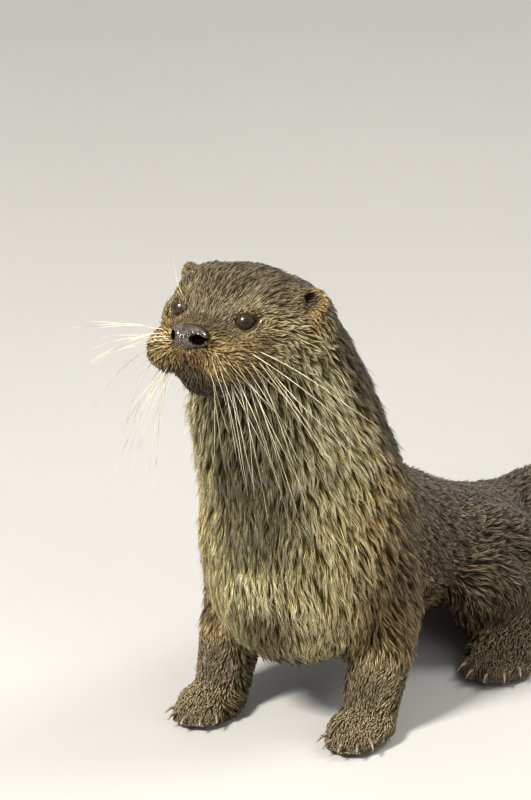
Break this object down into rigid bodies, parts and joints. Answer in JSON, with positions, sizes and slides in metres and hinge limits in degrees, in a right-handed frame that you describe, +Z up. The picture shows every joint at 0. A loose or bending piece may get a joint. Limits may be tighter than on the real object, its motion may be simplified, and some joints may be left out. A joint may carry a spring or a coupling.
{
  "type": "eurasian otter",
  "caption": "Life-size still model of a Eurasian otter sitting up on straight forelegs, neck raised, head turned a little, tail laid on the floor.",
  "frame": {"origin": "on the floor, under the middle of the bounding box", "axes": "+Z up, the body faces -Y, +X is the otter's left side, the tail runs towards +Y"},
  "size_m": [0.2558, 0.827, 0.3191],
  "materials": {
    "dark_coat": "short dense fur, dark brown, matte with a wet sheen",
    "pale_coat": "longer fur in pointed locks, buff and cream, matte with a wet sheen",
    "nose_skin": "bare, pebbled, moist, nearly black",
    "eye": "wet, glossy, very dark brown",
    "claw": "smooth horn, dull",
    "whisker": "stiff pale bristle"
  },
  "bodies": {
    "root": {"belly": "dark_coat", "chest": "pale_coat", "ear_left": "dark_coat", "ear_right": "dark_coat", "eye_left": "eye", "eye_right": "eye", "foreleg_left": "dark_coat", "foreleg_right": "dark_coat", "forepaw_left": "dark_coat", "forepaw_left_claw_1": "claw", "forepaw_left_claw_2": "claw", "forepaw_left_claw_3": "claw", "forepaw_left_claw_4": "claw", "forepaw_left_claw_5": "claw", "forepaw_right": "dark_coat", "forepaw_right_claw_1": "claw", "forepaw_right_claw_2": "claw", "forepaw_right_claw_3": "claw", "forepaw_right_claw_4": "claw", "forepaw_right_claw_5": "claw", "head": "dark_coat", "hindfoot_left": "dark_coat", "hindfoot_left_claw_1": "claw", "hindfoot_left_claw_2": "claw", "hindfoot_left_claw_3": "claw", "hindfoot_left_claw_4": "claw", "hindfoot_left_claw_5": "claw", "hindfoot_right": "dark_coat", "hindfoot_right_claw_1": "claw", "hindfoot_right_claw_2": "claw", "hindfoot_right_claw_3": "claw", "hindfoot_right_claw_4": "claw", "hindfoot_right_claw_5": "claw", "hindleg_left": "dark_coat", "hindleg_right": "dark_coat", "neck": "pale_coat", "nose_pad": "nose_skin", "rump": "dark_coat", "tail_base": "dark_coat", "tail_middle": "dark_coat", "tail_tip": "dark_coat", "whisker_left_lower": "whisker", "whisker_left_middle": "whisker", "whisker_left_upper": "whisker", "whisker_right_lower": "whisker", "whisker_right_middle": "whisker", "whisker_right_upper": "whisker"}
  },
  "joints": []
}
